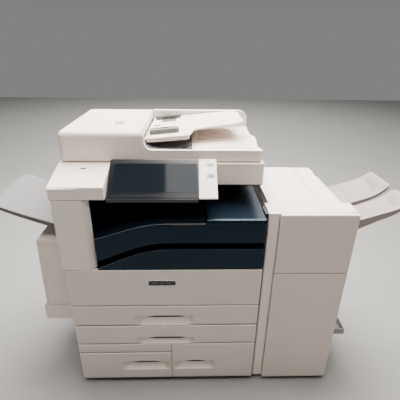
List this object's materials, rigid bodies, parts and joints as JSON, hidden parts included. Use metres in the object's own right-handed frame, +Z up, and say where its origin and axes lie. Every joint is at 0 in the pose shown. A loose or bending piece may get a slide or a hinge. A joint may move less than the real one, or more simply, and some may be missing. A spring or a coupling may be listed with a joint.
{
  "type": "photocopier",
  "caption": "Floor-standing office photocopier with a lifting document feeder, pull-out paper trays, a tilting control panel and a docked finisher with side output trays",
  "frame": {"origin": "centre of the footprint's bounding box, on the floor", "axes": "+X to the right of a person at the control panel, +Y away from them, +Z up"},
  "size_m": [1.575, 0.638, 1.0853],
  "materials": {
    "shell": "fine moulded texture, satin",
    "dark_plastic": "blue-black, satin to glossy",
    "tray_plastic": "pale grey moulding",
    "guide_plastic": "mid grey moulding",
    "steel": "zinc-plated sheet",
    "glass": "clear float glass",
    "screen": "dark glossy display",
    "rubber": "black rubber",
    "drum": "green-blue coated drum",
    "black_plastic": "black moulding"
  },
  "bodies": {
    "machine": {"base_plate": "steel", "mid_shelf": "steel", "foot_front_left": "rubber", "foot_front_right": "rubber", "foot_rear_left": "rubber", "foot_rear_right": "rubber", "left_side_cover": "shell", "right_side_cover": "shell", "rear_cover": "shell", "power_inlet": "black_plastic", "left_column": "shell", "column_cap": "shell", "scanner_housing": "shell", "platen_glass": "glass", "upper_output_tray": "dark_plastic", "lower_output_tray": "dark_plastic", "tray_top_strip": "shell", "toner_bottle": "black_plastic", "left_output_tray": "tray_plastic", "finisher_cabinet": "shell", "finisher_front_frame": "shell", "finisher_foot_front": "rubber", "finisher_foot_rear": "rubber"},
    "carriage": {"scan_carriage": "black_plastic"},
    "transport_cover": {"transport_cover": "dark_plastic"},
    "front_door": {"front_door": "shell"},
    "tray_1": {"tray_1_front": "shell", "tray_1_bin": "tray_plastic"},
    "tray_1_lift": {"tray_1_lift_plate": "steel"},
    "tray_2": {"tray_2_front": "shell", "tray_2_bin": "tray_plastic"},
    "tray_2_lift": {"tray_2_lift_plate": "steel"},
    "tray_3": {"tray_3_front": "shell", "tray_3_bin": "tray_plastic"},
    "tray_3_lift": {"tray_3_lift_plate": "steel"},
    "tray_4": {"tray_4_front": "shell", "tray_4_bin": "tray_plastic"},
    "tray_4_lift": {"tray_4_lift_plate": "steel"},
    "drum": {"imaging_drum": "drum"},
    "fuser": {"fuser_roller": "rubber"},
    "pressure": {"pressure_roller": "rubber"},
    "feeder": {"adf_base": "shell"},
    "feeder_cover": {"adf_cover": "shell"},
    "input_tray": {"adf_input_tray": "shell"},
    "guide_front": {"adf_guide_front": "guide_plastic"},
    "guide_rear": {"adf_guide_rear": "guide_plastic"},
    "feed_roller": {"adf_feed_roller": "rubber"},
    "panel": {"control_panel": "dark_plastic", "button_strip": "shell", "touch_screen": "screen"},
    "power_button": {"power_button": "guide_plastic"},
    "home_button": {"home_button": "guide_plastic"},
    "left_door": {"left_door": "shell"},
    "bypass": {"bypass_tray": "shell"},
    "lower_left_door": {"lower_left_door": "shell"},
    "finisher_upper_door": {"finisher_upper_door": "shell"},
    "finisher_lower_door": {"finisher_lower_door": "shell"},
    "finisher_top": {"finisher_top_cover": "shell"},
    "stacker": {"stacker_tray": "tray_plastic"},
    "booklet": {"booklet_tray": "tray_plastic"}
  },
  "joints": [
    {"name": "carriage_slide", "type": "slide", "parent": "machine", "child": "carriage", "axis": [1, 0, 0], "range_m": [0, 0.55]},
    {"name": "transport_cover_lift", "type": "hinge", "parent": "machine", "child": "transport_cover", "pos_m": [0.1155, 0.239, 0.808], "axis": [-1, 0, 0], "range_deg": [0, 5]},
    {"name": "front_door_swing", "type": "hinge", "parent": "machine", "child": "front_door", "pos_m": [-0.1435, -0.311, 0.438], "axis": [1, 0, 0], "range_deg": [0, 90]},
    {"name": "tray_1_slide", "type": "slide", "parent": "machine", "child": "tray_1", "axis": [0, -1, 0], "range_m": [0, 0.45]},
    {"name": "tray_1_lift", "type": "hinge", "parent": "tray_1", "child": "tray_1_lift", "pos_m": [0.0385, -0.02975, 0.342], "axis": [0, 1, 0], "range_deg": [0, 6]},
    {"name": "tray_2_slide", "type": "slide", "parent": "machine", "child": "tray_2", "axis": [0, -1, 0], "range_m": [0, 0.45]},
    {"name": "tray_2_lift", "type": "hinge", "parent": "tray_2", "child": "tray_2_lift", "pos_m": [0.0385, -0.02975, 0.243], "axis": [0, 1, 0], "range_deg": [0, 6]},
    {"name": "tray_3_slide", "type": "slide", "parent": "machine", "child": "tray_3", "axis": [0, -1, 0], "range_m": [0, 0.42]},
    {"name": "tray_3_lift", "type": "slide", "parent": "tray_3", "child": "tray_3_lift", "axis": [0, 0, 1], "range_m": [0, 0.075]},
    {"name": "tray_4_slide", "type": "slide", "parent": "machine", "child": "tray_4", "axis": [0, -1, 0], "range_m": [0, 0.42]},
    {"name": "tray_4_lift", "type": "slide", "parent": "tray_4", "child": "tray_4_lift", "axis": [0, 0, 1], "range_m": [0, 0.12]},
    {"name": "drum_spin", "type": "hinge", "parent": "machine", "child": "drum", "pos_m": [-0.3775, -0.094, 0.5], "axis": [0, 1, 0], "continuous": true},
    {"name": "fuser_spin", "type": "hinge", "parent": "machine", "child": "fuser", "pos_m": [-0.4695, -0.084, 0.56], "axis": [0, 1, 0], "continuous": true},
    {"name": "pressure_spin", "type": "hinge", "parent": "machine", "child": "pressure", "pos_m": [-0.4369, -0.084, 0.56], "axis": [0, 1, 0], "continuous": true},
    {"name": "feeder_lift", "type": "hinge", "parent": "machine", "child": "feeder", "pos_m": [-0.1505, 0.279, 0.985], "axis": [-1, 0, 0], "range_deg": [0, 70]},
    {"name": "feeder_cover_lift", "type": "hinge", "parent": "feeder", "child": "feeder_cover", "pos_m": [-0.5155, 0.047, 1.0505], "axis": [0, -1, 0], "range_deg": [0, 65]},
    {"name": "input_tray_lift", "type": "hinge", "parent": "feeder", "child": "input_tray", "pos_m": [-0.2095, 0.048, 1.042], "axis": [0, -1, 0], "range_deg": [0, 28]},
    {"name": "guide_front_slide", "type": "slide", "parent": "input_tray", "child": "guide_front", "axis": [0, 1, 0], "range_m": [0, 0.06]},
    {"name": "guide_rear_slide", "type": "slide", "parent": "input_tray", "child": "guide_rear", "axis": [0, -1, 0], "range_m": [0, 0.06]},
    {"name": "feed_roller_spin", "type": "hinge", "parent": "feeder", "child": "feed_roller", "pos_m": [-0.2555, 0.046, 1.022], "axis": [0, 1, 0], "continuous": true},
    {"name": "panel_tilt", "type": "hinge", "parent": "machine", "child": "panel", "pos_m": [-0.1425, -0.199, 0.962], "axis": [-1, 0, 0], "range_deg": [0, 18]},
    {"name": "power_button_press", "type": "slide", "parent": "panel", "child": "power_button", "axis": [0, 0.6144, -0.789], "range_m": [0, 0.0015], "stiffness_N_per_m": 300, "springref_m": -0.001},
    {"name": "home_button_press", "type": "slide", "parent": "panel", "child": "home_button", "axis": [0, 0.6144, -0.789], "range_m": [0, 0.0015], "stiffness_N_per_m": 300, "springref_m": -0.001},
    {"name": "left_door_swing", "type": "hinge", "parent": "machine", "child": "left_door", "pos_m": [-0.5295, 0.203, 0.512], "axis": [0, 0, -1], "range_deg": [0, 80]},
    {"name": "bypass_fold", "type": "hinge", "parent": "left_door", "child": "bypass", "pos_m": [-0.6437, -0.004, 0.3785], "axis": [0, -1, 0], "range_deg": [0, 75]},
    {"name": "lower_left_door_swing", "type": "hinge", "parent": "machine", "child": "lower_left_door", "pos_m": [-0.5295, 0.203, 0.314], "axis": [0, 0, -1], "range_deg": [0, 80]},
    {"name": "finisher_upper_door_swing", "type": "hinge", "parent": "machine", "child": "finisher_upper_door", "pos_m": [0.5385, -0.307, 0.704], "axis": [0, 0, 1], "range_deg": [0, 100]},
    {"name": "finisher_lower_door_swing", "type": "hinge", "parent": "machine", "child": "finisher_lower_door", "pos_m": [0.5385, -0.307, 0.30125], "axis": [0, 0, 1], "range_deg": [0, 100]},
    {"name": "finisher_top_lift", "type": "hinge", "parent": "machine", "child": "finisher_top", "pos_m": [0.339, 0.1785, 0.827], "axis": [-1, 0, 0], "range_deg": [0, 70]},
    {"name": "stacker_lift", "type": "slide", "parent": "machine", "child": "stacker", "axis": [0, 0, 1], "range_m": [-0.3, 0]},
    {"name": "booklet_fold", "type": "hinge", "parent": "machine", "child": "booklet", "pos_m": [0.537, -0.118, 0.18], "axis": [0, -1, 0], "range_deg": [0, 85]}
  ],
  "couplings": [
    {"joint": "pressure_spin", "follows": "fuser_spin", "ratio": -1},
    {"joint": "guide_rear_slide", "follows": "guide_front_slide", "ratio": 1}
  ]
}
